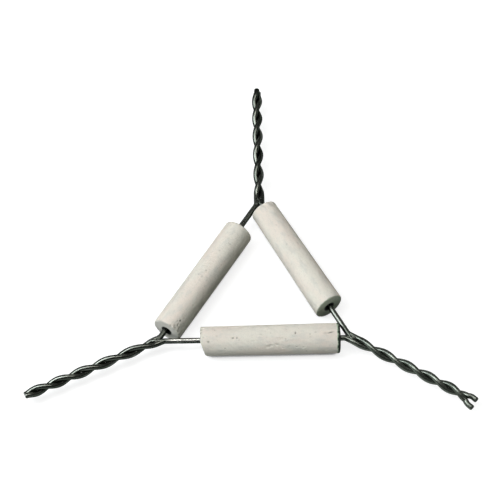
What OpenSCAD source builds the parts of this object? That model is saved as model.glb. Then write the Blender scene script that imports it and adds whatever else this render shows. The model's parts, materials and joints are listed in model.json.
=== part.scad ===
// Pipe clay triangle: three clay tubes threaded on three iron wires.
// The wires make a triangle that holds a crucible over a burner. At each corner
// two neighbouring wires are twisted together into an arm, which lies on the
// ring or tripod. The clay tubes are loose, and turn freely on their wires.
//
// Z = 0 is the table that the tubes lie on. The origin is the middle of the
// triangle that the wires make, the front side runs along X, and the back
// corner points along +Y.
//
// Sides and corners are numbered anticlockwise, seen from above:
//   side 0 is the front one, from the left corner (0) to the right corner (1)
//   side 1 is the right one, from the right corner (1) to the back corner (2)
//   side 2 is the left one, from the back corner (2) to the left corner (0)
// Each tube is pushed up to the corner at which its side ends.

/* [Clay tubes] */
// Length of the front tube
front_tube_l = 51.2; // [40:0.1:60]
// Length of the right tube
right_tube_l = 49.6; // [40:0.1:60]
// Length of the left tube
left_tube_l = 50.8; // [40:0.1:60]
// Outside diameter of the tubes
tube_d = 11.2; // [9:0.1:14]
// How much slimmer the front tube is at its left end
front_taper = 0.4; // [0:0.1:1.5]
// How much slimmer the right tube is at its back end
right_taper = 1; // [0:0.1:1.5]
// Bore through the tubes
bore_d = 3.5; // [3.2:0.1:5]
// Rounding of the outer rims
rim_r = 0.6; // [0.2:0.1:1]
// Rounding of the front tube's right rim, which is worn the most
front_right_rim_r = 0.9; // [0.2:0.1:2]
// Chamfer round the mouths of the bore
mouth_c = 0.25; // [0.1:0.05:0.5]
// Slant of the worn half of the front tube's left end, in degrees
front_left_slant = 18; // [0:1:25]
// Slant of the right tube's front end, in degrees
right_front_slant = 4; // [0:1:10]

/* [Iron wire] */
// Diameter of the wire
wire_d = 2; // [1.6:0.1:2.4]
// Radius of the bend from a side into an arm, on the wire's centre line
bend_r = 3; // [2:0.5:5]
// Length over which a cut end is nipped flat
nip_l = 1.2; // [0.6:0.1:2]
// Share of the wire's height that the nip takes away
nip_share = 0.12; // [0:0.02:0.4]

/* [Bare wire between the left-hand end of a side and its tube] */
// Bare wire on the front side, from the left corner
front_bare = 15.7; // [8:0.1:25]
// Bare wire on the right side, from the right corner
right_bare = 14.6; // [8:0.1:25]
// Bare wire on the left side, from the back corner
left_bare = 15.9; // [8:0.1:25]

/* [Stand-off of a tube from the wire that it is pushed up to] */
// Stand-off of the front tube
front_stand_off = 0.2; // [0:0.05:3]
// Stand-off of the right tube
right_stand_off = 0.25; // [0:0.05:3]
// Stand-off of the left tube
left_stand_off = 0.35; // [0:0.05:3]

/* [How the tubes sit on the wires, as shares of the play in the bore] */
// Front tube, inwards at its pushed-up end
front_in_near = -0.3; // [-0.9:0.05:0.9]
// Front tube, inwards at its other end
front_in_far = -0.8; // [-0.9:0.05:0.9]
// Right tube, inwards at its pushed-up end
right_in_near = 0.85; // [-0.9:0.05:0.9]
// Right tube, inwards at its other end
right_in_far = 0.45; // [-0.9:0.05:0.9]
// Left tube, inwards at its pushed-up end
left_in_near = 0.9; // [-0.9:0.05:0.9]
// Left tube, inwards at its other end
left_in_far = 0.9; // [-0.9:0.05:0.9]
// How far the wires sit below the middle of the bores
wire_drop = 0.43; // [0:0.01:0.43]

/* [Left arm] */
// Length from the corner to the cut ends
left_arm_l = 51.8; // [30:0.1:70]
// Lean off the line that halves the corner, anticlockwise, in degrees
left_arm_lean = -4.6; // [-12:0.1:12]
// Straight start before the twist
left_lead = 1.5; // [1:0.1:6]
// Length of the first half turn
left_half_first = 11; // [8:0.1:14]
// Length of the last half turn
left_half_last = 8.1; // [7:0.1:12]
// Straight length of the cut ends
left_tail = 1; // [1:0.1:8]
// Extra space between the two cut ends
left_splay = 0; // [0:0.1:3]
// How far the cut ends bend off to the left, looking outwards
left_bend = 0; // [-3:0.1:3]

/* [Right arm] */
// Length from the corner to the cut ends
right_arm_l = 51.2; // [30:0.1:70]
// Lean off the line that halves the corner, anticlockwise, in degrees
right_arm_lean = -0.6; // [-12:0.1:12]
// Straight start before the twist
right_lead = 2.9; // [1:0.1:6]
// Length of the first half turn
right_half_first = 10; // [8:0.1:14]
// Length of the last half turn
right_half_last = 7.9; // [7:0.1:12]
// Straight length of the cut ends
right_tail = 4; // [1:0.1:8]
// Extra space between the two cut ends
right_splay = 1.4; // [0:0.1:3]
// How far the cut ends bend off to the left, looking outwards
right_bend = -1.4; // [-3:0.1:3]

/* [Back arm] */
// Length from the corner to the cut ends
back_arm_l = 53.5; // [30:0.1:70]
// Lean off the line that halves the corner, anticlockwise, in degrees
back_arm_lean = 2.1; // [-12:0.1:12]
// Straight start before the twist
back_lead = 2.9; // [1:0.1:6]
// Length of the first half turn
back_half_first = 9.8; // [8:0.1:14]
// Length of the last half turn
back_half_last = 8.3; // [7:0.1:12]
// Straight length of the cut ends
back_tail = 2; // [1:0.1:8]
// Extra space between the two cut ends
back_splay = 0; // [0:0.1:3]
// How far the cut ends bend off to the left, looking outwards
back_bend = -0.4; // [-3:0.1:3]

/* [Clearances] */
// Space between a wire and the wall of its bore where they come closest
seat_gap = 0.05; // [0.02:0.01:0.2]
// Space between a tube's rim and the wire across its end
rim_gap = 0.1; // [0.05:0.05:0.5]
// Space between the two strands of a twist
strand_gap = 0.05; // [0.01:0.01:0.1]

/* [Hidden] */

CLAY = [0.87, 0.86, 0.81];
IRON = [0.24, 0.26, 0.24];
UP = [0, 0, 1];

tube_sides = 96;     // roundness of the tubes
rim_steps = 5;       // steps round the quarter circle of a rim
wire_sides = 12;     // facets round a wire
bend_steps = 5;      // steps round a bend
arm_steps = 58;      // steps along an arm
ease = 1.5;          // half the length over which a twist starts and stops
bend_run = 10;       // length over which the cut ends bend off
front_turn = 1.2;    // turn of the front side off the X axis, in degrees
slant_room = 4;      // space round a tube that a slanting cut takes in

// One value for each side, in the order 0, 1, 2
tube_l = [front_tube_l, right_tube_l, left_tube_l];
far_d = [tube_d - front_taper, tube_d, tube_d];
near_d = [tube_d, tube_d - right_taper, tube_d];
near_rim = [front_right_rim_r, rim_r, rim_r];
// A slanting end leaves the tube longest on the side that its way names: 0 is
// inwards and 90 up. The slant starts at a distance from the axis on that side
far_slant = [front_left_slant, right_front_slant, 0];
far_slant_way = [32, -30, 0];
far_slant_from = [0, tube_d / 2, 0];
bare = [front_bare, right_bare, left_bare];
stand_off = [front_stand_off, right_stand_off, left_stand_off];
play = (bore_d - wire_d) / 2 - seat_gap;
in_near = [front_in_near, right_in_near, left_in_near] * play;
in_far = [front_in_far, right_in_far, left_in_far] * play;

// One value for each corner, in the order 0, 1, 2
arm_l = [left_arm_l, right_arm_l, back_arm_l];
arm_lean = [left_arm_lean, right_arm_lean, back_arm_lean];
lead = [left_lead, right_lead, back_lead];
half_first = [left_half_first, right_half_first, back_half_first];
half_last = [left_half_last, right_half_last, back_half_last];
tail = [left_tail, right_tail, back_tail];
splay = [left_splay, right_splay, back_splay];
bend_off = [left_bend, right_bend, back_bend];

// Heights of the bores' middle and of the wires above the table
bore_z = tube_d / 2;
wire_z = bore_z - wire_drop * play;
// Distance of a strand's centre line from the middle of its arm
strand_r = (wire_d + strand_gap) / 2;

function next(i) = (i + 1) % 3;
function prev(i) = (i + 2) % 3;
function unit(v) = v / norm(v);
function turned(v, a) = [v.x * cos(a) - v.y * sin(a), v.x * sin(a) + v.y * cos(a), v.z];
function smooth(f) = let (c = max(0, min(1, f))) c * c * (3 - 2 * c);

// ---- The triangle of the wires ----

// Distance from a corner to the end of a tube whose rounded rim just clears the
// wire that crosses there: r is the tube's reach sideways, and a the corner's angle
function rim_reach(r, rim, a) = (wire_d / 2 + rim_gap + rim + (r - rim) * cos(a)) / sin(a) - rim;
// Distance from the corner to the tube's end on each side, for given corners
function near_l(angles) =
    [for (i = [0:2])
        rim_reach(near_d[i] / 2 + in_near[i], near_rim[i], angles[next(i)]) + stand_off[i]];
function side_l(angles) = bare + tube_l + near_l(angles);
// Angle of each corner by the cosine rule: sides i and i - 1 meet at corner i
function angles_of(l) =
    [for (i = [0:2])
        let (a = l[i], b = l[prev(i)], c = l[next(i)]) acos((a * a + b * b - c * c) / (2 * a * b))];
// The sides' lengths depend on the corners' angles and the other way round, so
// they are settled in a few rounds that start from an even triangle
function settled(rounds) = rounds == 0 ? [60, 60, 60] : angles_of(side_l(settled(rounds - 1)));

corner_a = settled(8);
side = side_l(corner_a);
near = near_l(corner_a);

// Directions of the sides, and the corners with their middle at the origin
dir_0 = turned([1, 0, 0], front_turn);
dir_1 = turned(dir_0, 180 - corner_a[1]);
dir_2 = turned(dir_1, 180 - corner_a[2]);
dirs = [dir_0, dir_1, dir_2];
loose = [[0, 0, 0], side[0] * dir_0, side[0] * dir_0 + side[1] * dir_1];
middle = (loose[0] + loose[1] + loose[2]) / 3;
corners = [for (p = loose) p - middle + wire_z * UP];

// ---- Clay tubes ----

// Half of a tube's section: [radius, distance along the tube from its far end]
function rim_arc(r, rim, z, way) =
    [for (k = [0:rim_steps])
        let (a = 90 * (way > 0 ? k : rim_steps - k) / rim_steps)
        [r - rim + rim * cos(a), z - way * rim * (1 - sin(a))]];
function tube_section(i) = concat(
    [[bore_d / 2, mouth_c], [bore_d / 2 + mouth_c, 0]],
    rim_arc(far_d[i] / 2, rim_r, 0, -1),
    rim_arc(near_d[i] / 2, near_rim[i], tube_l[i], 1),
    [[bore_d / 2 + mouth_c, tube_l[i]], [bore_d / 2, tube_l[i] - mouth_c]]);

// A tube along +Z with its far end at Z = 0 and +X as its inward side
module tube_blank(i) {
    room = tube_d + 2 * slant_room;
    difference() {
        rotate_extrude($fn = tube_sides)
            polygon(tube_section(i));
        if (far_slant[i] > 0)
            rotate(far_slant_way[i] * UP)
                translate([far_slant_from[i], 0, 0])
                    rotate([0, far_slant[i], 0])
                        translate([slant_room - room, -room / 2, -tube_d])
                            cube([room, room, tube_d]);
    }
}

// The tube leans within the play of its bore, so its own axis runs from a point
// beside the wire at one end to a point beside it at the other
module clay_tube(i) {
    inward = cross(UP, dirs[i]);
    start = corners[i] + bare[i] * dirs[i];
    far = [start.x, start.y, bore_z] + in_far[i] * inward;
    axis = unit(tube_l[i] * dirs[i] + (in_near[i] - in_far[i]) * inward);
    color(CLAY)
        translate(far)
            multmatrix([
                [-axis.y, 0, axis.x, 0],
                [axis.x, 0, axis.y, 0],
                [0, 1, 0, 0],
                [0, 0, 0, 1]])
                tube_blank(i);
}

// ---- Wires ----

// Direction of the arm at each corner, and the level direction across it
function arm_dir(i) = turned(-dirs[i], corner_a[i] / 2 + arm_lean[i]);
function arm_across(i) = cross(UP, arm_dir(i));

// Length that has been twisted at distance s from the corner. It starts and
// stops gently, within ease on each side of the twist's nominal ends
function eased(x) = x <= -ease ? 0 : x < ease ? pow(x + ease, 2) / (4 * ease) : x;
function twist_run(i) = arm_l[i] - lead[i] - tail[i];
function twisted(i, s) = let (run = twist_run(i)) run - eased(run - eased(s - lead[i]));
// Turn of the strands there: the rate rises evenly from the first half turn to
// the last, which closes up as the wires are pulled tight
function strand_turn(i, s) =
    let (x = twisted(i, s), first = 180 / half_first[i], last = 180 / half_last[i])
    first * x + (last - first) * x * x / (2 * twist_run(i));
// Radius of the twist, which opens over the first half of the tail
function strand_out(i, s) =
    let (open = (s - arm_l[i] + tail[i]) / (tail[i] / 2)) strand_r + splay[i] / 2 * smooth(open);
// The arm's own middle line, which bends off near the cut ends
function arm_point(i, s) =
    let (f = max(0, (s - arm_l[i] + bend_run) / bend_run))
    corners[i] + s * arm_dir(i) + bend_off[i] * f * f * arm_across(i);
// Point of a strand: way is 1 for the wire that starts at this corner, and -1
// for the wire that ends here
function strand_point(i, way, s) =
    let (t = strand_turn(i, s))
    arm_point(i, s)
        + way * strand_out(i, s) * (cos(t) * arm_across(i) + sin(t) * UP);

// The bend from a side into an arm: u points from the corner along the side
function side_out(i, way) = way > 0 ? dirs[i] : -dirs[prev(i)];
function knee_t(i, way) = way * strand_r / (side_out(i, way) * arm_across(i));
function knee(i, way) = corners[i] + knee_t(i, way) * side_out(i, way);
function bend_a(i, way) = acos(-side_out(i, way) * arm_dir(i));
function bend_points(i, way) =
    let (u = side_out(i, way), a = arm_dir(i), turn = bend_a(i, way),
         centre = knee(i, way) + unit(u + a) * bend_r / cos(turn / 2),
         from = knee(i, way) + bend_r * tan(turn / 2) * u - centre,
         to = knee(i, way) + bend_r * tan(turn / 2) * a - centre)
    [for (k = [0:bend_steps])
        let (f = k / bend_steps) centre + (sin((1 - f) * turn) * from + sin(f * turn) * to) / sin(turn)];
// Distance along the arm at which the bend has ended
function bend_end(i, way) =
    knee_t(i, way) * (side_out(i, way) * arm_dir(i)) + bend_r * tan(bend_a(i, way) / 2);
// Half of a wire, from the middle of the bend out to its cut end
function half_wire(i, way) = concat(
    bend_points(i, way),
    [for (k = [1:arm_steps])
        let (from = bend_end(i, way)) strand_point(i, way, from + (arm_l[i] - from) * k / arm_steps)]);
function reversed(list) = [for (k = [len(list) - 1:-1:0]) list[k]];
function wire_path(i) = concat(reversed(half_wire(i, 1)), half_wire(next(i), -1));

// Height of the section as a share of the wire, near a cut end
function nip_at(p, tip) = 1 - nip_share * smooth(1 - norm(p - tip) / nip_l);

// A tube of round section along the path: its rings stand square to the path
module sweep(path) {
    last = len(path) - 1;
    rings = [for (k = [0:last])
        let (t = unit(path[min(k + 1, last)] - path[max(k - 1, 0)]),
             across = unit(cross(t, UP)),
             over = cross(across, t),
             flat = min(nip_at(path[k], path[0]), nip_at(path[k], path[last])))
        for (j = [0:wire_sides - 1])
            let (a = 360 * j / wire_sides)
            path[k] + wire_d / 2 * (cos(a) / flat * across + sin(a) * flat * over)];
    walls = [for (k = [0:last - 1], j = [0:wire_sides - 1])
        let (a = k * wire_sides + j, b = k * wire_sides + (j + 1) % wire_sides)
        for (face = [[a, b, b + wire_sides], [a, b + wire_sides, a + wire_sides]]) face];
    first_cap = [for (j = [wire_sides - 1:-1:0]) j];
    last_cap = [for (j = [0:wire_sides - 1]) last * wire_sides + j];
    polyhedron(rings, concat(walls, [first_cap, last_cap]));
}

module wire(i) {
    color(IRON) sweep(wire_path(i));
}

module clay_tube_front() { clay_tube(0); }
module clay_tube_right() { clay_tube(1); }
module clay_tube_left() { clay_tube(2); }
module wire_front() { wire(0); }
module wire_right() { wire(1); }
module wire_left() { wire(2); }

clay_tube_front();
clay_tube_right();
clay_tube_left();
wire_front();
wire_right();
wire_left();
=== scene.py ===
# %% [markdown]
# # A pipe clay triangle
# Three fired clay tubes sit on three pieces of iron wire. Each wire passes through one tube and is
# twisted round its neighbours at the corners, which leaves three long arms. The triangle bridges a
# ring or a tripod, and a crucible is heated on the tubes. Everything here is in metres.

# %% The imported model
import json
import math

import bmesh
import bpy
import numpy as np
from mathutils import Matrix, Vector

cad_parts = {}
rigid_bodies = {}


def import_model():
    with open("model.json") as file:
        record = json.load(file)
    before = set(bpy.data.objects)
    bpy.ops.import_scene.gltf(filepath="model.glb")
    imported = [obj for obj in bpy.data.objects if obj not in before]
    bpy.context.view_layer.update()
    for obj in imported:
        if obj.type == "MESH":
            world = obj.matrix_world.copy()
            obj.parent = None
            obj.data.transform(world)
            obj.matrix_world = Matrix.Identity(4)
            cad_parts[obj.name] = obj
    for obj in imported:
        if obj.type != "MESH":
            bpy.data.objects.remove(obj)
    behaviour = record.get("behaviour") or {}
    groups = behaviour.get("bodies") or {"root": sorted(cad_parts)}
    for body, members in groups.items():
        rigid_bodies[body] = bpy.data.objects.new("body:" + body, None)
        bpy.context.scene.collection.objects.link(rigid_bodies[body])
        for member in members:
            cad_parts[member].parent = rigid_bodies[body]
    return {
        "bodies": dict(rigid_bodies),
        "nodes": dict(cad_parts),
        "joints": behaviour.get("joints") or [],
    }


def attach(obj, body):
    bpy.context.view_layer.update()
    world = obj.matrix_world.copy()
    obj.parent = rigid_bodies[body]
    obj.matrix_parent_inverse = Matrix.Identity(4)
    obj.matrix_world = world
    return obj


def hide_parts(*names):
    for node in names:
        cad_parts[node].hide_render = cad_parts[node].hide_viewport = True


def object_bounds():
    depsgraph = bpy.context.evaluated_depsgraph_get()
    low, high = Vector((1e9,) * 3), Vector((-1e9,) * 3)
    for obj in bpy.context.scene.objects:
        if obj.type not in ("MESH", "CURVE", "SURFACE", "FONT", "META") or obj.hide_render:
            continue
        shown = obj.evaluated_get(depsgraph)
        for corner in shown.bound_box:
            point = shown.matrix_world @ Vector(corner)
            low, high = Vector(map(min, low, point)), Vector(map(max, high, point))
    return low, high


bpy.data.batch_remove(list(bpy.data.objects))
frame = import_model()
solid_box = [list(corner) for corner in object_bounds()]
MM = 0.001
print("solid box", [[round(value / MM, 1) for value in corner] for corner in solid_box], "mm")

# %% [markdown]
# ## Camera
# The triangle lies flat on the bench and is seen from a little in front of it, looking well down.
# A long lens keeps the three sides in about the same scale. The camera could be aimed with a
# constraint, but one tilt about X is all that it needs.

# %% Camera
VIEW_HEIGHT = math.radians(58)
VIEW_DISTANCE = 620 * MM
VIEW_LENS = 116.7
AIM_SHIFT = Vector((-0.2 * MM, -0.9 * MM, 0))

low, high = (Vector(corner) for corner in solid_box)
middle = (low + high) / 2
aim = Vector((middle.x, middle.y, 0)) + AIM_SHIFT
camera = bpy.data.objects.new("camera", bpy.data.cameras.new("camera"))
bpy.context.scene.collection.objects.link(camera)
camera.data.lens = VIEW_LENS
camera.data.clip_start = 10 * MM
camera.location = aim + VIEW_DISTANCE * Vector((0, -math.cos(VIEW_HEIGHT), math.sin(VIEW_HEIGHT)))
camera.rotation_euler = (math.pi / 2 - VIEW_HEIGHT, 0, 0)
bpy.context.scene.camera = camera
print("camera at", [round(value / MM) for value in camera.location], "mm")

# %% [markdown]
# ## Small tools for node trees
# Both the shapes and the finishes are built as node trees in code. Each step of a tree is one node,
# and each of its inputs is either a plain value or another node's output. A few short helpers keep
# the trees readable: they add a node, do sums on numbers or vectors, turn one range into another,
# make noise of a given grain, and stretch or scale a vector.

# %% Helpers for node trees
def feed(tree, socket, value):
    if isinstance(value, bpy.types.NodeSocket):
        tree.links.new(value, socket)
    else:
        socket.default_value = value


def add(tree, kind, values=None, **settings):
    node = tree.nodes.new(kind)
    for name, value in settings.items():
        setattr(node, name, value)
    for name, value in (values or {}).items():
        feed(tree, node.inputs[name], value)
    return node


def calc(tree, operation, *values):
    node = add(tree, "ShaderNodeMath", dict(enumerate(values)), operation=operation)
    return node.outputs[0]


def vector_calc(tree, operation, *values):
    node = add(tree, "ShaderNodeVectorMath", dict(enumerate(values)), operation=operation)
    wanted = "Value" if operation in ("LENGTH", "DISTANCE", "DOT_PRODUCT") else "Vector"
    return node.outputs[wanted]


def ramp(tree, value, low, high, to_low=0.0, to_high=1.0, kind="SMOOTHSTEP"):
    sizes = {"Value": value, "From Min": low, "From Max": high, "To Min": to_low, "To Max": to_high}
    return add(tree, "ShaderNodeMapRange", sizes, interpolation_type=kind).outputs["Result"]


def noise(tree, place, grain, detail=2.0, roughness=0.5):
    sizes = {"Vector": place, "Scale": 1 / grain, "Detail": detail, "Roughness": roughness}
    return add(tree, "ShaderNodeTexNoise", sizes).outputs["Fac"]


def stretched(tree, place, factors):
    return vector_calc(tree, "MULTIPLY", place, factors)


def scaled(tree, vector, share):
    return add(tree, "ShaderNodeVectorMath", {0: vector, "Scale": share}, operation="SCALE").outputs[0]


# %% [markdown]
# ## Bench and light
# A plain pale bench under soft studio light. Two tall panels stand on the left, one leaning over the
# bench and one nearly overhead. They model the round tubes, and a dark wire mirrors them as long
# lines of light. A flat lamp straight above adds a line along the crown of the wires that run from
# side to side, and two weaker ones, behind and in front, keep the far sides readable. Those two are
# flagged off, so that the wires don't mirror them and keep their dark flanks. The lamps are slightly
# tinted, because the shaded sides are cooler than the lit ones. The bench is seen as nearly
# white but gives only a little light back, because a bright bench would lift the undersides of the
# tubes, which are dark. Where something rests on it, a painted contact shadow darkens the bench's
# glow over the last few millimetres, so the tubes look as if they bear on it. The wall behind is
# white only up to a low ceiling, which is dark, and the ceiling is what the flanks of a shiny wire mirror.

# %% Bench
BENCH_SIZE = 4.0
BENCH_SEEN = 0.78
BENCH_LIT = (0.4, 0.4, 0.4, 1)
BENCH_BOUNCE = (0.1, 0.11, 0.1, 1)
CONTACT_REACH = 3 * MM
PAINTED_SHADOW_DARK = 0.1
CONTACT_FROM, CONTACT_TO = 0.34, 0.48


def seen_directly(tree):
    path = add(tree, "ShaderNodeLightPath").outputs
    seen = calc(tree, "MAXIMUM", path["Is Camera Ray"], path["Is Glossy Ray"])
    return calc(tree, "MAXIMUM", seen, path["Is Transmission Ray"])


def shader_tree(name):
    material = bpy.data.materials.new(name)
    material.use_nodes = True
    material.node_tree.nodes.clear()
    return material, material.node_tree


def bench_finish():
    material, tree = shader_tree("pale bench")
    # The bench's glow is darkened near anything resting on it: a painted contact shadow
    open_sky = add(tree, "ShaderNodeAmbientOcclusion", {"Distance": CONTACT_REACH}).outputs["AO"]
    clear = ramp(tree, open_sky, CONTACT_FROM, CONTACT_TO, PAINTED_SHADOW_DARK, BENCH_SEEN)
    glow = add(tree, "ShaderNodeEmission", {"Strength": clear}).outputs[0]
    lit = add(tree, "ShaderNodeBsdfDiffuse", {"Color": BENCH_LIT}).outputs[0]
    dim = add(tree, "ShaderNodeBsdfDiffuse", {"Color": BENCH_BOUNCE}).outputs[0]
    seen = add(tree, "ShaderNodeAddShader", {0: glow, 1: lit}).outputs[0]
    mixed = add(tree, "ShaderNodeMixShader", {0: seen_directly(tree), 1: dim, 2: seen}).outputs[0]
    add(tree, "ShaderNodeOutputMaterial", {"Surface": mixed})
    return material


def bench():
    half = BENCH_SIZE / 2
    mesh = bpy.data.meshes.new("bench")
    corners = [(-half, -half, 0), (half, -half, 0), (half, half, 0), (-half, half, 0)]
    mesh.from_pydata(corners, [], [(0, 1, 2, 3)])
    mesh.materials.append(bench_finish())
    top = bpy.data.objects.new("bench", mesh)
    bpy.context.scene.collection.objects.link(top)


bench()

# %% Lamps and surroundings
LAMPS = {
    "key": {"from": (-0.69, -0.05, 0.72), "away": 0.8, "wide": 0.3, "tall": 0.6, "power": 3.05,
            "tint": (0.92, 0.97, 1.0)},
    "high": {"from": (-0.42, -0.07, 0.9), "away": 0.8, "wide": 0.3, "tall": 0.6, "power": 2.3,
             "tint": (0.98, 0.99, 1.0)},
    "top": {"from": (0.05, 0.14, 0.99), "away": 0.8, "wide": 0.6, "tall": 0.14, "power": 1.25,
            "tint": (1.0, 0.97, 0.92)},
    "fill": {"from": (0.4, 0.85, 0.4), "away": 1.0, "wide": 0.8, "tall": 0.5, "power": 1.9,
             "tint": (1.0, 1.0, 1.0)},
    "front": {"from": (-0.42, -0.87, 0.35), "away": 1.0, "wide": 0.6, "tall": 0.4, "power": 2.8,
              "tint": (0.96, 1.0, 1.0)},
}
FLAGGED = ("fill", "front")
SURROUND_GLOW = 0.06
SURROUND_TINT = (0.94, 1.0, 0.93, 1)
CEILING_GLOW = 0.07
WALL_TOP = math.sin(math.radians(5))
CEILING_EDGE = math.sin(math.radians(12))


def lamp(name, values):
    light = bpy.data.lights.new(name, "AREA")
    light.shape = "RECTANGLE"
    light.size, light.size_y = values["wide"], values["tall"]
    light.energy, light.color = values["power"], values["tint"]
    lamp_object = bpy.data.objects.new(name, light)
    bpy.context.scene.collection.objects.link(lamp_object)
    direction = Vector(values["from"]).normalized()
    lamp_object.location = aim + values["away"] * direction
    lamp_object.rotation_euler = direction.to_track_quat("Z", "Y").to_euler()
    lamp_object.visible_glossy = name not in FLAGGED


def surroundings():
    world = bpy.data.worlds.new("studio")
    world.use_nodes = True
    tree = world.node_tree
    tree.nodes.clear()
    direction = add(tree, "ShaderNodeTexCoord").outputs["Generated"]
    height = add(tree, "ShaderNodeSeparateXYZ", {0: direction}).outputs["Z"]
    wall = ramp(tree, height, WALL_TOP, CEILING_EDGE, 1.0, CEILING_GLOW)
    white = add(tree, "ShaderNodeBackground", {"Color": (1, 1, 1, 1), "Strength": wall}).outputs[0]
    dim = add(tree, "ShaderNodeBackground", {"Strength": SURROUND_GLOW, "Color": SURROUND_TINT}).outputs[0]
    mixed = add(tree, "ShaderNodeMixShader", {0: seen_directly(tree), 1: dim, 2: white}).outputs[0]
    add(tree, "ShaderNodeOutputWorld", {"Surface": mixed})
    bpy.context.scene.world = world


for name, values in LAMPS.items():
    lamp(name, values)
surroundings()
bpy.context.scene.view_settings.view_transform = "Standard"

# %% [markdown]
# ## Small tools for shapes
# The wires and the tubes both follow a rule: a round section carried along a path, and a section
# carried round an axis. Geometry Nodes suit that, because a tree's sizes stay named inputs. Each tree
# is run as a modifier on a plain starting outline. The result is then kept as an ordinary
# mesh, so the piece that rides on the model needs no modifier.

# %% Helpers for shapes
SOCKETS = {float: "NodeSocketFloat", int: "NodeSocketInt", Vector: "NodeSocketVector",
           bpy.types.Material: "NodeSocketMaterial"}


def new_tree(name, inputs):
    tree = bpy.data.node_groups.new(name, "GeometryNodeTree")
    tree.interface.new_socket("Geometry", in_out="INPUT", socket_type="NodeSocketGeometry")
    tree.interface.new_socket("Geometry", in_out="OUTPUT", socket_type="NodeSocketGeometry")
    for label, kind in inputs.items():
        tree.interface.new_socket(label, in_out="INPUT", socket_type=SOCKETS[kind])
    return tree, add(tree, "NodeGroupInput").outputs


def noise_field(tree, place, size, detail=2.0):
    """Noise in a shape's tree, where the size of its grain is an input and not a plain number."""
    return add(tree, "ShaderNodeTexNoise", {"Vector": place, "Detail": detail,
               "Scale": calc(tree, "DIVIDE", 1.0, size)}).outputs["Fac"]


def store(tree, geometry, name, value, kind="FLOAT"):
    return add(tree, "GeometryNodeStoreNamedAttribute", {"Geometry": geometry, "Name": name,
               "Value": value}, data_type=kind, domain="POINT").outputs[0]


def end_tree(tree, geometry, material):
    real = add(tree, "GeometryNodeRealizeInstances", {0: geometry}).outputs[0]
    done = add(tree, "GeometryNodeSetMaterial", {"Geometry": real, "Material": material}).outputs[0]
    add(tree, "NodeGroupOutput", {0: done})


def outline_object(name, points, closed):
    count = len(points)
    edges = [(k, (k + 1) % count) for k in range(count if closed else count - 1)]
    mesh = bpy.data.meshes.new(name)
    mesh.from_pydata(points, edges, [])
    piece = bpy.data.objects.new(name, mesh)
    bpy.context.scene.collection.objects.link(piece)
    return piece


def run_tree(piece, tree, sizes):
    modifier = piece.modifiers.new(tree.name, "NODES")
    modifier.node_group = tree
    for socket in tree.interface.items_tree:
        if socket.in_out == "INPUT" and socket.name in sizes:
            modifier[socket.identifier] = sizes[socket.name]


def keep_result(piece):
    graph = bpy.context.evaluated_depsgraph_get()
    result = bpy.data.meshes.new_from_object(
        piece.evaluated_get(graph), preserve_all_data_layers=True, depsgraph=graph)
    piece.modifiers.clear()
    piece.data = result
    result.name = piece.name


def triangles(piece):
    piece.data.calc_loop_triangles()
    return len(piece.data.loop_triangles)


# %% [markdown]
# ## Where the wires run
# A wire leaves its cut end, twists round its neighbour along one arm, turns the corner, goes
# through its tube, turns the next corner and twists round the other neighbour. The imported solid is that
# route already, swept with a ring of twelve corners. So the route isn't worked out again: the solid
# is walked from one cut end to the other, ring by ring, and the middle of each ring is a point.

# %% The middle line of a swept solid
SAME_POINT = 0.001 * MM
CUT_EDGE = math.radians(60)


def middle_line(node):
    solid = bmesh.new()
    solid.from_mesh(frame["nodes"][node].data)
    bmesh.ops.remove_doubles(solid, verts=solid.verts, dist=SAME_POINT)
    solid.verts.index_update()
    cut_edges = [edge for edge in solid.edges if edge.calc_face_angle(0) > CUT_EDGE]
    ring = {min((vert for edge in cut_edges for vert in edge.verts), key=lambda vert: vert.index)}
    grown = set()
    while ring != grown:
        grown = set(ring)
        ring |= {vert for edge in cut_edges if ring & set(edge.verts) for vert in edge.verts}
    seen, line = set(ring), []
    while ring:
        in_order = sorted(ring, key=lambda vert: vert.index)
        line.append(sum((vert.co for vert in in_order), Vector()) / len(ring))
        ring = {edge.other_vert(vert) for vert in ring for edge in vert.link_edges} - seen
        seen |= ring
    solid.free()
    return line


routes = {node: middle_line(node) for node in frame["nodes"] if node.startswith("wire")}
for node, line in routes.items():
    length = sum((b - a).length for a, b in zip(line, line[1:]))
    print(node, len(line), "rings,", round(length / MM, 1), "mm long")


# %% [markdown]
# ## The drawn wire as a rule
# Iron wire has a round section, so the route becomes a smooth curve and a circle is carried along
# it. The two cut ends are nipped: the last millimetre is pressed a little flat, and the edge of the
# cut is worn round. Hand tools and heat leave the surface slightly uneven, so shallow hollows are
# sunk into it. Every point also keeps its place on the wire (across, across, along), which lets the
# finish follow the twists. It notes as well where the crown is painted lighter: near its tube, as
# rubbed wear and a painted highlight, and by how near a point is to the top of the wire, as wiped
# wear and a painted highlight.
#
# One fault is left in it. The straight stretch is a single long gap between two points, and a
# Catmull-Rom spline overshoots where so long a gap meets the close points of a bend. At both ends
# of its straight stretch each wire so runs straight on past the bend, as a false spur about 6 mm
# long that cuts through the neighbouring wire. Points set all along the straight stretch, or a plain
# poly line, should cure it, but neither has been tried.

# %% The wire tree
WIRE_INPUTS = {"Radius": float, "Ring spacing": float, "Sides": int, "Nip length": float,
               "Nip share": float, "Tip length": float, "Tip share": float,
               "Hollow depth": float, "Hollow size": float,
               "Rub reach": float, "Rub": float, "Wipe": float, "Pattern shift": float,
               "Finish": bpy.types.Material}
RUB_FADE = 4 * MM
RUBBED_SHEEN_CROWN = 0.55, 0.92
WIPED_SHEEN_CROWN = 0.6, 0.95


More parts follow.
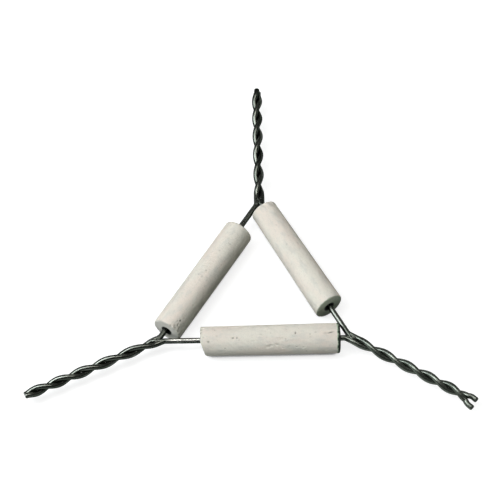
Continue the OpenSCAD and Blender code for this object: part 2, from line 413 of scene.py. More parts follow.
def wire_tree():
    tree, given = new_tree("drawn wire", WIRE_INPUTS)
    curve = add(tree, "GeometryNodeMeshToCurve", {"Mesh": given["Geometry"]}).outputs[0]
    curve = add(tree, "GeometryNodeCurveSplineType", {"Curve": curve}, spline_type="CATMULL_ROM").outputs[0]
    curve = add(tree, "GeometryNodeResampleCurve", {"Curve": curve, "Length": given["Ring spacing"]},
                mode="LENGTH").outputs[0]

    run = add(tree, "GeometryNodeSplineParameter").outputs["Length"]
    whole = add(tree, "GeometryNodeSplineLength").outputs["Length"]
    held = add(tree, "GeometryNodeCaptureAttribute", {"Geometry": curve}, domain="POINT")
    captures = (("VECTOR", "middle", add(tree, "GeometryNodeInputPosition").outputs[0]),
                ("FLOAT", "along", run),
                ("FLOAT", "off middle", calc(tree, "ABSOLUTE", calc(tree, "SUBTRACT", run,
                                                                    calc(tree, "MULTIPLY", whole, 0.5)))),
                ("FLOAT", "to end", calc(tree, "MINIMUM", run, calc(tree, "SUBTRACT", whole, run))))
    for kind, label, value in captures:
        held.capture_items.new(kind, label)
        tree.links.new(value, held.inputs[label])

    circle = add(tree, "GeometryNodeCurvePrimitiveCircle",
                 {"Resolution": given["Sides"], "Radius": given["Radius"]}).outputs[0]
    section = add(tree, "GeometryNodeCaptureAttribute", {"Geometry": circle}, domain="POINT")
    section.capture_items.new("VECTOR", "across")
    tree.links.new(add(tree, "GeometryNodeInputPosition").outputs[0], section.inputs["across"])
    swept = add(tree, "GeometryNodeCurveToMesh", {"Curve": held.outputs[0],
                "Profile Curve": section.outputs[0], "Fill Caps": True}).outputs[0]

    across = add(tree, "ShaderNodeSeparateXYZ", {0: section.outputs["across"]}).outputs
    place = add(tree, "ShaderNodeCombineXYZ", {"X": across["X"], "Y": across["Y"],
                "Z": calc(tree, "ADD", held.outputs["along"], given["Pattern shift"])}).outputs[0]
    wire = store(tree, swept, "wire_place", place, "FLOAT_VECTOR")

    # A tube hangs on its wire and slides, so it rubs the crown of the middle stretch bare; that crown is
    # also a painted highlight
    stretch_mask = ramp(tree, held.outputs["off middle"], given["Rub reach"],
                        calc(tree, "ADD", given["Rub reach"], RUB_FADE), 1.0, 0.0)
    above = vector_calc(tree, "SUBTRACT", add(tree, "GeometryNodeInputPosition").outputs[0],
                        held.outputs["middle"])
    height = add(tree, "ShaderNodeSeparateXYZ", {0: above}).outputs["Z"]
    crown = calc(tree, "DIVIDE", height, given["Radius"])
    rubbed = calc(tree, "MULTIPLY", stretch_mask, ramp(tree, crown, *RUBBED_SHEEN_CROWN))
    # The top of every wire is painted lighter: wiped wear and a painted highlight
    wiped = calc(tree, "MULTIPLY", ramp(tree, crown, *WIPED_SHEEN_CROWN), given["Wipe"])
    wire = store(tree, wire, "rubbed", calc(tree, "MULTIPLY", rubbed, given["Rub"]))
    wire = store(tree, wire, "wiped", wiped)

    # The nip presses the offset from the middle flat and lets it spread, and the burr is worn off the tip
    nip = ramp(tree, held.outputs["to end"], 0.0, given["Nip length"], given["Nip share"], 0.0)
    position = add(tree, "GeometryNodeInputPosition").outputs[0]
    offset = vector_calc(tree, "SUBTRACT", position, held.outputs["middle"])
    spread = calc(tree, "DIVIDE", 1.0, calc(tree, "SUBTRACT", 1.0, nip))
    tip = ramp(tree, held.outputs["to end"], 0.0, given["Tip length"],
               calc(tree, "SUBTRACT", 1.0, given["Tip share"]), 1.0)
    pressed = add(tree, "ShaderNodeCombineXYZ", {"X": spread, "Y": spread,
                  "Z": calc(tree, "SUBTRACT", 1.0, nip)}).outputs[0]
    kept = vector_calc(tree, "MULTIPLY", offset, scaled(tree, pressed, tip))
    moved = vector_calc(tree, "ADD", held.outputs["middle"], kept)
    wire = add(tree, "GeometryNodeSetPosition", {"Geometry": wire, "Position": moved}).outputs[0]

    # Hollows: only where the noise is low, and always inwards
    pattern = noise_field(tree, place, given["Hollow size"], 3.0)
    sink = calc(tree, "MULTIPLY", ramp(tree, pattern, 0.25, 0.7, -1.0, 0.0), given["Hollow depth"])
    push = scaled(tree, add(tree, "GeometryNodeInputNormal").outputs[0], sink)
    wire = add(tree, "GeometryNodeSetPosition", {"Geometry": wire, "Offset": push}).outputs[0]
    wire = add(tree, "GeometryNodeSetShadeSmooth", {"Geometry": wire}).outputs[0]
    end_tree(tree, wire, given["Finish"])
    return tree


# %% [markdown]
# ## Iron that has been in the flame
# The wire is bare iron with a tight dark oxide skin from many heatings: a grey-black with a
# faint green cast. Its flanks are sooty and mirror very little. Its crown is painted lighter, partly
# as wear wiped by hands and cloths and partly as a painted highlight, so it shows a soft line of
# light. The skin is drawn out along the wire, and beside the tubes its crown is painted lighter
# still, partly as iron rubbed bare and partly as a painted highlight. Out on the right arm it is
# dusted with ash, which is dull and greenish grey. A metal shader with a dark colour and a dark edge
# serves for all of this, and is made less metallic under the ash.

# %% Iron finish
IRON_SKIN = (0.03, 0.038, 0.031, 1)
IRON_GREY = (0.065, 0.076, 0.064, 1)
IRON_WIPED_SHEEN = (0.21, 0.225, 0.2, 1)
IRON_ASH = (0.105, 0.124, 0.103, 1)
ASH_FROM = 24 * MM
ASH_TO = 34 * MM
ASH_METAL = 0.84
IRON_BARE_AND_SHEEN = (0.7, 0.7, 0.66, 1)
IRON_EDGE = (0.02, 0.025, 0.02, 1)
IRON_RUST = (0.05, 0.042, 0.03, 1)
IRON_BUMP = 0.02 * MM


def blend_colour(tree, share, first, second):
    mix = add(tree, "ShaderNodeMix", {"Factor": share}, data_type="RGBA")
    feed(tree, mix.inputs[6], first)
    feed(tree, mix.inputs[7], second)
    return mix.outputs[2]


def stored(tree, name, output="Fac"):
    return add(tree, "ShaderNodeAttribute", attribute_name=name).outputs[output]


def iron_finish():
    material, tree = shader_tree("fired iron")
    place = stored(tree, "wire_place", "Vector")
    streaks = noise(tree, stretched(tree, place, (1, 1, 0.12)), 0.6 * MM, 3.0, 0.5)
    patches = noise(tree, stretched(tree, place, (1, 1, 0.4)), 3 * MM, 3.0, 0.5)
    specks = noise(tree, place, 0.35 * MM, 3.0, 0.6)

    colour = blend_colour(tree, ramp(tree, streaks, 0.35, 0.7), IRON_SKIN, IRON_GREY)
    colour = blend_colour(tree, ramp(tree, patches, 0.5, 0.75, 0.0, 0.1), colour, IRON_BARE_AND_SHEEN)
    colour = blend_colour(tree, ramp(tree, specks, 0.6, 0.75, 0.0, 0.4), colour, IRON_RUST)
    side = add(tree, "ShaderNodeSeparateXYZ", {0: add(tree, "ShaderNodeTexCoord").outputs["Object"]})
    ash = calc(tree, "MULTIPLY", ramp(tree, side.outputs["X"], ASH_FROM, ASH_TO),
               ramp(tree, patches, 0.3, 0.6, 0.45, 0.9))
    colour = blend_colour(tree, ash, colour, IRON_ASH)
    # The crown is painted lighter: wiped wear and a painted highlight
    wiped = calc(tree, "MULTIPLY", stored(tree, "wiped"), ramp(tree, streaks, 0.3, 0.6, 0.7, 1.0))
    colour = blend_colour(tree, wiped, colour, IRON_WIPED_SHEEN)
    # The crown of the rubbed stretch is painted nearly bare iron: rubbed wear and a painted highlight
    bare_and_sheen = calc(tree, "MULTIPLY", stored(tree, "rubbed"), ramp(tree, streaks, 0.3, 0.55, 0.6, 1.0))
    colour = blend_colour(tree, bare_and_sheen, colour, IRON_BARE_AND_SHEEN)
    rough = calc(tree, "ADD", ramp(tree, streaks, 0.3, 0.7, 0.22, 0.3),
                 ramp(tree, specks, 0.5, 0.7, 0.0, 0.06))
    metal = ramp(tree, ash, 0.0, 1.0, 1.0, ASH_METAL)
    height = calc(tree, "ADD", calc(tree, "MULTIPLY", streaks, 0.6), calc(tree, "MULTIPLY", specks, 0.5))
    bump = add(tree, "ShaderNodeBump",
               {"Height": height, "Distance": IRON_BUMP, "Strength": 0.5}).outputs[0]
    shader = add(tree, "ShaderNodeBsdfPrincipled", {"Base Color": colour, "Roughness": rough,
                 "Metallic": metal, "Specular Tint": IRON_EDGE, "Normal": bump}).outputs[0]
    add(tree, "ShaderNodeOutputMaterial", {"Surface": shader})
    return material


iron = iron_finish()

# %% [markdown]
# ## The three wires
# One tree makes all three wires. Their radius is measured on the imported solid. The solids are a hair
# apart, so half of that gap is added, and the twisted strands bear on each other as pulled wire
# does. Each wire gets its own shift along the pattern, so that no two wear alike.

# %% Drawn wires
WIRE_SIDES = 28
WIRE_RING = 0.22 * MM
NIP_LENGTH = 1.2 * MM
NIP_SHARE = 0.06
TIP_LENGTH = 0.4 * MM
TIP_SHARE = 0.2
WIRE_HOLLOW, WIRE_HOLLOW_SIZE = 0.015 * MM, 1.6 * MM
WIRE_SEAT = 0.032 * MM
RUB_REACH = 28.5 * MM
# How strongly each wire's crown is painted lighter, as wear and as a painted highlight
RUB_AND_SHEEN = {"wire_front": 1.0, "wire_right": 0.15, "wire_left": 0.05}
WIPE_AND_SHEEN = {"wire_front": 0.7, "wire_right": 0.4, "wire_left": 0.85}
WIRE_SHIFT = 0.31


def radius_along(node, line):
    """The wire's radius: how far the solid's corners lie from the middle of its run."""
    corners = np.array([vert.co for vert in frame["nodes"][node].data.vertices])
    centre = np.array(line[len(line) // 2])
    return float(np.sort(np.linalg.norm(corners - centre, axis=1))[0])


drawn_tree = wire_tree()
wires = {}
for turn, (node, line) in enumerate(sorted(routes.items())):
    piece = outline_object("drawn_" + node, line, closed=False)
    radius = radius_along(node, line) + WIRE_SEAT
    run_tree(piece, drawn_tree, {
        "Radius": radius, "Ring spacing": WIRE_RING, "Sides": WIRE_SIDES, "Nip length": NIP_LENGTH,
        "Nip share": NIP_SHARE, "Tip length": TIP_LENGTH, "Tip share": TIP_SHARE,
        "Hollow depth": WIRE_HOLLOW, "Hollow size": WIRE_HOLLOW_SIZE,
        "Rub reach": RUB_REACH, "Rub": RUB_AND_SHEEN[node], "Wipe": WIPE_AND_SHEEN[node],
        "Pattern shift": WIRE_SHIFT * turn, "Finish": iron})
    keep_result(piece)
    wires[node] = piece
    print(piece.name, "radius", round(radius / MM, 3), "mm,", triangles(piece), "triangles")

# %% [markdown]
# ## The fired tube as a rule
# A tube is extruded clay, cut to length and fired: one section turned round an axis. The section is
# a closed outline of the bore, the two mouths, the two end faces, the rounded rims and the outside, so
# the turned skin closes on itself with no seam and no pole. Each tube is built lying along Z with X as its
# inward side and Y up. It is set in its place only at the end.

# %% The tube's measures
TUBE_STEP = 0.19 * MM
BORE_STEP = 2.5 * MM
RIM_STEPS = 8
FACE_STEPS = 14
MOUTH = 0.25 * MM
RIM = 0.6 * MM
NEAR_END = 2.5 * MM
FAR_END = 6 * MM
SAME_LEVEL = 0.01 * MM
UP = Vector((0, 0, 1))


def setting(body):
    """The matrix that takes X inwards, Y up and Z along the tube into the model."""
    joint = next(joint for joint in frame["joints"] if joint["child"] == body)
    along = Vector(joint["axis"]).normalized()
    matrix = Matrix((UP.cross(along), UP, along)).transposed().to_4x4()
    matrix.translation = Vector(joint["pos_m"])
    return matrix


def tube_measures(node, matrix):
    corners = np.array([matrix.inverted() @ vert.co for vert in frame["nodes"][node].data.vertices])
    radii, along = np.hypot(corners[:, 0], corners[:, 1]), corners[:, 2]
    length = along.max()
    widest_near = np.argmax(np.where(along > length - NEAR_END, radii, 0))
    widest_far = np.argmax(np.where(along < FAR_END, radii, 0))
    near, far = radii[widest_near], radii[widest_far]
    taper = (near - far) / (along[widest_near] - along[widest_far])
    flat = radii[along > length - SAME_LEVEL].max()
    return {"length": float(length), "bore": float(radii.min()), "near": float(near),
            "far": float(far - taper * along[widest_far]), "near_rim": float(near - flat)}


def stretch(start, end, count):
    """Points from start up to, but not on, end."""
    return [tuple(a + (b - a) * k / count for a, b in zip(start, end)) for k in range(count)]


def rounding(centre, radius, first):
    """A quarter turn of the section's rim, which starts at the angle first."""
    angles = [math.radians(first + 90 * k / RIM_STEPS) for k in range(RIM_STEPS)]
    return [(centre[0] + radius * math.cos(a), centre[1] + radius * math.sin(a)) for a in angles]


def tube_section(sizes):
    length, bore, far, near = (sizes[name] for name in ("length", "bore", "far", "near"))
    near_rim, mouth = sizes["near_rim"], bore + MOUTH
    side = round((length - RIM - near_rim) / TUBE_STEP)
    return (stretch((bore, MOUTH), (mouth, 0), 2)
            + stretch((mouth, 0), (far - RIM, 0), FACE_STEPS)
            + rounding((far - RIM, RIM), RIM, 270)
            + stretch((far, RIM), (near, length - near_rim), side)
            + rounding((near - near_rim, length - near_rim), near_rim, 0)
            + stretch((near - near_rim, length), (mouth, length), FACE_STEPS)
            + stretch((mouth, length), (bore, length - MOUTH), 2)
            + stretch((bore, length - MOUTH), (bore, MOUTH), round(length / BORE_STEP)))


tubes = {body: tube_measures("clay_" + body, setting(body))
         for body in sorted(frame["bodies"]) if body.startswith("tube")}
for body, sizes in tubes.items():
    print(body, {name: round(value / MM, 2) for name, value in sizes.items()})

# %% [markdown]
# ## A tube that has been used
# Fired pipe clay is never a perfect cylinder. The outside dips and swells a little, the die
# leaves faint lines along it, small stones and bubbles have left pits, and the rims
# are chipped where the tubes knock together. One end of the front tube is worn to a slant. The tree
# lays all of this on the turned skin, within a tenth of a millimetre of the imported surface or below
# it, and leaves the bore alone, so that the tube still turns clear of the wires and its neighbours.

# %% The tube tree
TUBE_INPUTS = {"Sides": int, "Bore radius": float, "Length": float, "Outside radius": float,
               "Slant": float, "Slant way": float, "Slant start": float,
               "Dip depth": float, "Dip size": float, "Line depth": float, "Line size": float,
               "Pit spacing": float, "Smallest pit": float, "Largest pit": float, "Pit depth": float,
               "Chip depth": float, "Chip size": float, "Chip reach": float, "Face depth": float,
               "Bump depth": float, "Bump size": float, "Pit stain": float, "Skin proud": float,
               "Near dirt": float, "Far dirt": float, "Dirt reach": float, "Dirt patch": float,
               "Flank smoke": float,
               "Pattern shift": Vector, "Seed": int, "Finish": bpy.types.Material}
PIT_CROWD = 4.0e5
PIT_FLOOR = 0.25
OUTSIDE_FADE = 2 * MM
FACE_FADE = 0.3 * MM
BORE_CLEAR, BORE_FADE = 0.1 * MM, 0.7 * MM


def turned_skin(tree, given):
    """The section carried round the axis: its X is measured from the wall of the bore."""
    section = add(tree, "GeometryNodeMeshToCurve", {"Mesh": given["Geometry"]}).outputs[0]
    ring = add(tree, "GeometryNodeCurvePrimitiveCircle",
               {"Resolution": given["Sides"], "Radius": given["Bore radius"]}).outputs[0]
    ring = add(tree, "GeometryNodeSetCurveNormal", {"Curve": ring}, mode="Z_UP").outputs[0]
    skin = add(tree, "GeometryNodeCurveToMesh", {"Curve": ring, "Profile Curve": section}).outputs[0]
    return add(tree, "GeometryNodeFlipFaces", {"Mesh": skin}).outputs[0]


def pit_field(tree, given, skin, outside, place):
    """How deep each point lies in its nearest pit, from 0 at the brim to 1, and how stained it is."""
    spots = add(tree, "GeometryNodeDistributePointsOnFaces", {
        "Mesh": skin, "Selection": outside, "Distance Min": given["Pit spacing"],
        "Density Max": PIT_CROWD, "Seed": given["Seed"]}, distribute_method="POISSON").outputs["Points"]
    size = add(tree, "FunctionNodeRandomValue", {2: given["Smallest pit"], 3: given["Largest pit"],
               "Seed": given["Seed"]}, data_type="FLOAT").outputs[1]
    stain = add(tree, "FunctionNodeRandomValue", {2: 0.0, 3: 1.0,
                "Seed": calc(tree, "ADD", given["Seed"], 1.0)}, data_type="FLOAT").outputs[1]
    here = add(tree, "GeometryNodeInputPosition").outputs[0]
    nearest = add(tree, "GeometryNodeSampleNearest", {"Geometry": spots}).outputs[0]
    centre = add(tree, "GeometryNodeSampleIndex", {"Geometry": spots, "Value": here, "Index": nearest},
                 data_type="FLOAT_VECTOR").outputs[0]
    reach = add(tree, "GeometryNodeSampleIndex", {"Geometry": spots, "Value": size, "Index": nearest},
                data_type="FLOAT").outputs[0]
    dark = add(tree, "GeometryNodeSampleIndex", {"Geometry": spots, "Value": stain, "Index": nearest},
               data_type="FLOAT").outputs[0]
    uneven = ramp(tree, noise_field(tree, place, given["Largest pit"]), 0.2, 0.8, 0.5, 1.9)
    away = calc(tree, "MULTIPLY", vector_calc(tree, "DISTANCE", here, centre), uneven)
    pit = ramp(tree, away, reach, calc(tree, "MULTIPLY", reach, PIT_FLOOR), 0.0, 1.0)
    # The power leaves most pits clean and only a few of them dark
    darkness = calc(tree, "MULTIPLY", calc(tree, "POWER", dark, 4.0), given["Pit stain"])
    return pit, calc(tree, "MULTIPLY", pit, darkness)


def tube_tree():
    tree, given = new_tree("fired tube", TUBE_INPUTS)
    skin = turned_skin(tree, given)
    position = add(tree, "GeometryNodeInputPosition").outputs[0]
    place = vector_calc(tree, "ADD", position, given["Pattern shift"])
    part = add(tree, "ShaderNodeSeparateXYZ", {0: position}).outputs
    radius = calc(tree, "SQRT", calc(tree, "ADD", calc(tree, "MULTIPLY", part["X"], part["X"]),
                                     calc(tree, "MULTIPLY", part["Y"], part["Y"])))
    depth = calc(tree, "SUBTRACT", given["Outside radius"], radius)
    to_end = calc(tree, "MINIMUM", part["Z"], calc(tree, "SUBTRACT", given["Length"], part["Z"]))
    outside = ramp(tree, depth, 0.0, OUTSIDE_FADE, 1.0, 0.0)
    faces = ramp(tree, to_end, 0.0, FACE_FADE, 1.0, 0.0)
    rims = calc(tree, "MULTIPLY", ramp(tree, to_end, 0.0, given["Chip reach"], 1.0, 0.0),
                ramp(tree, depth, 0.0, given["Chip reach"], 1.0, 0.0))
    away_from_bore = ramp(tree, radius, calc(tree, "ADD", given["Bore radius"], BORE_CLEAR),
                          calc(tree, "ADD", given["Bore radius"], BORE_FADE))

    dips = calc(tree, "MULTIPLY", noise_field(tree, place, given["Dip size"]), given["Dip depth"])
    along = stretched(tree, place, (1, 1, 0.06))
    lines = calc(tree, "MULTIPLY", noise_field(tree, along, given["Line size"], 3.0), given["Line depth"])
    bumps = calc(tree, "MULTIPLY", noise_field(tree, place, given["Bump size"], 3.0), given["Bump depth"])
    pits, stains = pit_field(tree, given, skin, calc(tree, "GREATER_THAN", outside, 0.7), place)
    chips = calc(tree, "MULTIPLY", rims,
                 ramp(tree, noise_field(tree, place, given["Chip size"], 3.0), 0.5, 0.68))
    ragged = calc(tree, "MULTIPLY", noise_field(tree, place, given["Chip size"], 4.0), faces)
    relief = calc(tree, "ADD", calc(tree, "ADD", dips, lines), bumps)
    relief = calc(tree, "SUBTRACT", relief, given["Skin proud"])
    sunk = calc(tree, "ADD", calc(tree, "MULTIPLY", relief, outside),
                calc(tree, "MULTIPLY", pits, given["Pit depth"]))
    sunk = calc(tree, "ADD", sunk, calc(tree, "MULTIPLY", chips, given["Chip depth"]))
    sunk = calc(tree, "ADD", sunk, calc(tree, "MULTIPLY", ragged, given["Face depth"]))
    sunk = calc(tree, "MULTIPLY", calc(tree, "MULTIPLY", sunk, away_from_bore), -1.0)

    # Dirt and painted shade on the end faces, with an uneven edge, painted shade on the inner flank, and
    # painted shade all through the bore
    nearer = calc(tree, "GREATER_THAN", part["Z"], calc(tree, "MULTIPLY", given["Length"], 0.5))
    end_dirt_and_shade = ramp(tree, nearer, 0.0, 1.0, given["Far dirt"], given["Near dirt"])
    edge = calc(tree, "MULTIPLY", given["Dirt reach"],
                ramp(tree, noise_field(tree, place, given["Chip size"], 3.0), 0.3, 0.7, 0.85, 1.15))
    near_end = ramp(tree, to_end, calc(tree, "MULTIPLY", edge, 0.5), edge, 1.0, 0.0)
    dirt = calc(tree, "MULTIPLY", end_dirt_and_shade, near_end)
    # The inner flank is painted darker as shade
    flank = ramp(tree, calc(tree, "DIVIDE", part["X"], given["Outside radius"]), 0.2, 1.0)
    drawn_out = stretched(tree, place, (1, 1, 0.35))
    patchy = ramp(tree, noise_field(tree, drawn_out, given["Dirt patch"], 6.0), 0.25, 0.75, 0.7, 1.3)
    dirt = calc(tree, "MINIMUM", 1.0, calc(tree, "MULTIPLY", dirt, patchy))
    smoke = calc(tree, "MULTIPLY", calc(tree, "MULTIPLY", flank, given["Flank smoke"]), patchy)
    # The bore is painted near black as shade
    soot = calc(tree, "SUBTRACT", 1.0, away_from_bore)

    skin = store(tree, skin, "tube_place", place, "FLOAT_VECTOR")
    for label, value in (("stain", stains), ("chip", chips), ("face", faces), ("dirt", dirt),
                         ("smoke", smoke), ("soot", soot)):
        skin = store(tree, skin, label, value)
    push = scaled(tree, add(tree, "GeometryNodeInputNormal").outputs[0], sunk)
    skin = add(tree, "GeometryNodeSetPosition", {"Geometry": skin, "Offset": push}).outputs[0]

    # The slant eases the whole tube along, most at the worn end and not at all at the other
    lie = calc(tree, "ADD", calc(tree, "MULTIPLY", part["X"], calc(tree, "COSINE", given["Slant way"])),
               calc(tree, "MULTIPLY", part["Y"], calc(tree, "SINE", given["Slant way"])))
    cut = calc(tree, "MULTIPLY", calc(tree, "TANGENT", given["Slant"]),
               calc(tree, "MAXIMUM", 0.0, calc(tree, "SUBTRACT", given["Slant start"], lie)))
    share = calc(tree, "SUBTRACT", 1.0, calc(tree, "DIVIDE", part["Z"], given["Length"]))
    shift = add(tree, "ShaderNodeCombineXYZ", {"Z": calc(tree, "MULTIPLY", cut, share)}).outputs[0]
    skin = add(tree, "GeometryNodeSetPosition", {"Geometry": skin, "Offset": shift}).outputs[0]
    skin = add(tree, "GeometryNodeSetShadeSmooth", {"Geometry": skin}).outputs[0]
    end_tree(tree, skin, given["Finish"])
    return tree


# %% [markdown]
# ## Marks with a place of their own
# A few marks are too large to be left to chance: a long dent and the pits beside it on the front
# tube, a scratch near its right end, the nicks in its left rim, and a deep pit and a crumbled patch
# near the lower end of the left tube. Each is one entry in a list that says where it lies along and
# around the tube, how long and wide it is, how deep, how far it is turned, and how much dirt it
# holds. They are pressed into the mesh, point by point.

# %% Marks
OUTER_SHARE = 0.85
# Along the tube, around it in degrees, length, width, depth, turn in degrees, stain; lengths in mm
MARKS = {
    "tube_front": [
        (25, 145, 3.8, 1.5, 0.28, -20, 0.15), (28, 138, 1.4, 1.1, 0.22, 10, 0.4),
        (30, 152, 0.9, 0.7, 0.18, 0, 0.15), (32.5, 147, 1.3, 0.7, 0.2, 15, 0.2),
        (35, 150, 1.1, 0.9, 0.24, 0, 0.35), (34.7, 95, 0.8, 1.5, 0.3, 10, 1.0),
        (12, 109, 1.1, 1.1, 0.28, 0, 0.8), (13.4, 109, 1.0, 1.0, 0.28, 20, 0.8),
        (9, 150, 1.0, 0.7, 0.2, 30, 0.6), (42, 93, 1.5, 1.0, 0.12, -15, 0.35),
        (47.5, 96, 3.6, 1.0, 0.32, -14, 0.8), (45.5, 99, 2.4, 1.2, 0.2, 5, 0.2),
        (3, 122, 1.3, 1.0, 0.3, 0, 0.6), (19, 122, 2.4, 0.6, 0.1, 0, 0.2),
        (0.3, 60, 1.8, 2.4, 0.8, 0, 0.8), (0.2, 82, 1.4, 1.6, 0.6, 0, 0.6),
        (1.2, 104, 1.2, 1.2, 0.25, 20, 0.3), (37.5, 152, 1.4, 0.9, 0.2, 0, 0.25),
        (6, 100, 1.2, 0.8, 0.16, 0, 0.2), (22, 100, 1.6, 0.8, 0.14, 10, 0.15),
        (40, 112, 1.4, 0.8, 0.14, -20, 0.15), (31, 118, 1.2, 0.8, 0.14, 30, 0.15)],
    "tube_right": [
        (27.5, 116, 2.4, 1.1, 0.1, 20, 0.15), (32, 100, 1.6, 0.9, 0.1, 0, 0.12),
        (38.5, 80, 2.0, 1.0, 0.1, -30, 0.12), (0.3, 112, 1.2, 1.6, 0.3, 0, 0.0)],
    "tube_left": [
        (14, 88, 0.9, 0.8, 0.16, 0, 0.35), (24, 85, 1.2, 0.9, 0.18, 20, 0.4),
        (27, 84, 1.1, 0.9, 0.16, 0, 0.35), (29.5, 53, 0.9, 0.7, 0.16, -20, 0.35),
        (38.5, 46, 1.2, 0.9, 0.18, 10, 0.35), (46.5, 51, 1.3, 1.1, 0.4, 0, 1.3),
        (48.5, 49, 1.6, 0.7, 0.2, 10, 0.6), (49, 36, 1.8, 0.9, 0.2, -10, 0.5),
        (47.6, 40, 1.2, 0.9, 0.18, 30, 0.5), (48.2, 28, 1.4, 0.9, 0.2, -20, 0.5),
        (46.4, 34, 1.0, 0.8, 0.14, 0, 0.35), (47.3, 60, 1.2, 0.8, 0.16, 20, 0.45),
        (49.4, 58, 1.0, 1.2, 0.22, 0, 0.5), (46.8, 22, 1.4, 1.0, 0.16, 0, 0.4),
        (44.8, 44, 1.0, 0.8, 0.12, -30, 0.3), (48.8, 18, 1.2, 0.9, 0.18, 15, 0.45),
        (50.4, 70, 1.4, 1.6, 0.2, 0, 0.3), (50.2, 52, 2.0, 1.8, 0.25, 15, 0.4),
        (49.8, 30, 2.6, 1.6, 0.25, -10, 0.4), (50.5, 12, 1.6, 2.2, 0.25, 0, 0.3)],
}


def press_marks(mesh, marks):
    count = len(mesh.vertices)
    points, stain = np.empty(count * 3), np.empty(count)
    mesh.vertices.foreach_get("co", points)
    mesh.attributes["stain"].data.foreach_get("value", stain)
    points = points.reshape(-1, 3)
    radius, around = np.hypot(points[:, 0], points[:, 1]), np.arctan2(points[:, 1], points[:, 0])
    outside = radius > OUTER_SHARE * radius.max()
    sunk = np.zeros(count)
    for along, angle, length, width, depth, turn, dirt in marks:
        ahead = points[:, 2] - along * MM
        aside = radius * ((around - math.radians(angle) + math.pi) % (2 * math.pi) - math.pi)
        lean = math.radians(turn)
        long_way = (ahead * math.cos(lean) + aside * math.sin(lean)) / (length * MM / 2)
        cross_way = (aside * math.cos(lean) - ahead * math.sin(lean)) / (width * MM / 2)
        inside = np.clip(1 - np.hypot(long_way, cross_way), 0, 1) * outside
        bowl = inside * inside * (3 - 2 * inside)
        sunk = np.maximum(sunk, np.sqrt(bowl) * depth * MM)
        stain = np.maximum(stain, bowl * dirt)
    points[:, :2] *= ((radius - sunk) / radius)[:, None]
    mesh.vertices.foreach_set("co", points.ravel())
    mesh.attributes["stain"].data.foreach_set("value", stain)
    mesh.update()


# %% [markdown]
# ## Fired pipe clay
# Pipe clay fires to a warm, chalky off-white. It is dull all over, mottled a little with pink and
# grey, and has fine grain. Soot and iron stay in the pits and in the chips. The cut ends are painted
# darker, partly as dirt and partly as painted shade: thin, it looks greenish grey, thick, nearly
# black. The bore is painted near black as shade, and the inner side of the left tube, its shaded
# side, is painted darker as shade. The colour is a few layers of noise, each at the scale of what it
# stands for, and the marks that the tube tree has stored say where stains, dirt and painted shade go.

# %% Clay finish
CLAY = (0.775, 0.738, 0.655, 1)
CLAY_PINK = (0.785, 0.71, 0.63, 1)
CLAY_GREY = (0.61, 0.6, 0.55, 1)
CLAY_STAIN = (0.16, 0.14, 0.11, 1)
CLAY_CUT = (0.7, 0.685, 0.635, 1)
FLANK_SHADE = (0.31, 0.335, 0.285, 1)
THIN_DIRT_AND_SHADE = (0.44, 0.535, 0.4, 1)
THICK_DIRT_AND_SHADE = (0.018, 0.026, 0.018, 1)
BORE_SHADE = (0.008, 0.01, 0.008, 1)
CLAY_BUMP = 0.2 * MM


def clay_finish():
    material, tree = shader_tree("fired pipe clay")
    place = stored(tree, "tube_place", "Vector")
    stain, chip, face = stored(tree, "stain"), stored(tree, "chip"), stored(tree, "face")
    dirt, smoke, soot = stored(tree, "dirt"), stored(tree, "smoke"), stored(tree, "soot")
    clouds = noise(tree, stretched(tree, place, (1, 1, 0.6)), 8 * MM, 3.0, 0.55)
    patches = noise(tree, stretched(tree, place, (1, 1, 0.5)), 2.6 * MM, 4.0, 0.6)
    streaks = noise(tree, stretched(tree, place, (1, 1, 0.1)), 0.9 * MM, 3.0, 0.5)
    lumps = noise(tree, place, 1.1 * MM, 2.0, 0.5)
    grain = noise(tree, place, 0.5 * MM, 4.0, 0.65)

    colour = blend_colour(tree, ramp(tree, clouds, 0.38, 0.62), CLAY, CLAY_PINK)
    colour = blend_colour(tree, ramp(tree, patches, 0.45, 0.72, 0.0, 0.65), colour, CLAY_GREY)
    colour = blend_colour(tree, ramp(tree, streaks, 0.5, 0.8, 0.0, 0.3), colour, CLAY_GREY)
    colour = blend_colour(tree, ramp(tree, grain, 0.5, 0.72, 0.0, 0.5), colour, CLAY_GREY)
    colour = blend_colour(tree, calc(tree, "MULTIPLY", face, 0.8), colour, CLAY_CUT)
    held = calc(tree, "MINIMUM", 1.0, calc(tree, "ADD", stain, calc(tree, "MULTIPLY", chip, 0.2)))
    colour = blend_colour(tree, held, colour, CLAY_STAIN)
    # Painted shade on the inner flank
    colour = blend_colour(tree, smoke, colour, FLANK_SHADE)
    # The cut ends are painted darker: dirt and painted shade
    colour = blend_colour(tree, ramp(tree, dirt, 0.0, 0.5), colour, THIN_DIRT_AND_SHADE)
    colour = blend_colour(tree, ramp(tree, dirt, 0.4, 1.0), colour, THICK_DIRT_AND_SHADE)
    # Painted shade in the bore
    colour = blend_colour(tree, soot, colour, BORE_SHADE)
    rough = ramp(tree, grain, 0.3, 0.7, 0.82, 0.95)
    height = calc(tree, "ADD", calc(tree, "MULTIPLY", grain, 0.8), calc(tree, "MULTIPLY", patches, 1.5))
    height = calc(tree, "ADD", height, calc(tree, "MULTIPLY", lumps, 1.2))
    bump = add(tree, "ShaderNodeBump",
               {"Height": height, "Distance": CLAY_BUMP, "Strength": 0.9}).outputs[0]
    shader = add(tree, "ShaderNodeBsdfPrincipled", {"Base Color": colour, "Roughness": rough,
                 "Specular IOR Level": 0.3, "Normal": bump}).outputs[0]
    add(tree, "ShaderNodeOutputMaterial", {"Surface": shader})
    return material


clay = clay_finish()

# %% [markdown]
# ## The three tubes
# All three come out of the same tree. Each has its own measures, its own wear and its own seed.
# The worn slants, in degrees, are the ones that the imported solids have.

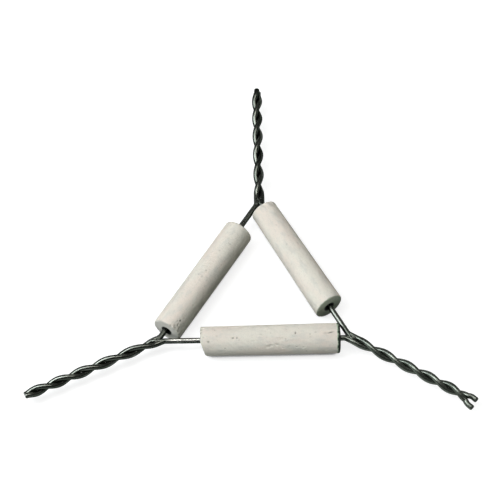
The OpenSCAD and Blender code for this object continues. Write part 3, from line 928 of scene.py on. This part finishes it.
# %% Fired tubes
TUBE_SIDES = 240
# The near and far values set how dark each end is painted, as dirt and painted shade; the flank value
# paints the inner side darker as shade
WEAR = {
    "tube_front": {"Slant": 18, "Slant way": 32, "Slant start": 0.0, "Seed": 4,
                   "Near dirt": 1.0, "Far dirt": 0.1, "Dirt reach": 1.6 * MM, "Flank smoke": 0.02,
                   "Pit stain": 0.6, "Chip depth": 0.2 * MM, "Bump depth": 0.12 * MM},
    "tube_right": {"Slant": 4, "Slant way": -30, "Slant start": 5.6 * MM, "Seed": 9,
                   "Near dirt": 0.2, "Far dirt": 0.3, "Dirt reach": 0.4 * MM, "Flank smoke": 0.02,
                   "Pit stain": 0.2, "Chip depth": 0.2 * MM, "Bump depth": 0.03 * MM},
    "tube_left": {"Slant": 0, "Slant way": 0, "Slant start": 0.0, "Seed": 15,
                  "Near dirt": 0.02, "Far dirt": 0.2, "Dirt reach": 0.4 * MM, "Flank smoke": 0.55,
                  "Pit stain": 0.4, "Chip depth": 0.3 * MM, "Bump depth": 0.05 * MM},
}
COMMON_WEAR = {"Dip depth": 0.09 * MM, "Dip size": 7 * MM, "Line depth": 0.03 * MM, "Line size": 0.8 * MM,
               "Pit spacing": 3.4 * MM, "Smallest pit": 0.1 * MM, "Largest pit": 0.55 * MM,
               "Pit depth": 0.1 * MM, "Chip size": 0.8 * MM, "Chip reach": 0.9 * MM, "Bump size": 1.4 * MM,
               "Face depth": 0.14 * MM, "Skin proud": 0.08 * MM, "Dirt patch": 2.2 * MM}

TUBE_SHIFT = Vector((0.1, 0, 0.2))

fired_tree = tube_tree()
for turn, (body, sizes) in enumerate(tubes.items()):
    corners = [(radius - sizes["bore"], -along, 0) for radius, along in tube_section(sizes)]
    piece = outline_object("fired_" + body, corners, closed=True)
    wear = dict(WEAR[body])
    wear["Slant"], wear["Slant way"] = math.radians(wear["Slant"]), math.radians(wear["Slant way"])
    run_tree(piece, fired_tree, {
        **COMMON_WEAR, **wear, "Sides": TUBE_SIDES, "Bore radius": sizes["bore"], "Length": sizes["length"],
        "Outside radius": max(sizes["near"], sizes["far"]), "Pattern shift": tuple(TUBE_SHIFT * turn),
        "Finish": clay})
    keep_result(piece)
    press_marks(piece.data, MARKS[body])
    piece.data.transform(setting(body))
    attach(piece, body)
    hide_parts("clay_" + body)
    print(piece.name, triangles(piece), "triangles, volume", end=" ")
    measured = bmesh.new()
    measured.from_mesh(piece.data)
    print(round(measured.calc_volume(signed=True) / MM ** 3), "mm3")
    measured.free()

# %% [markdown]
# ## What moves with what
# The three wires are twisted together and move as one. Each tube turns on its own wire.

# %% Riding
for node, piece in wires.items():
    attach(piece, "wire_frame")
    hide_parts(node)
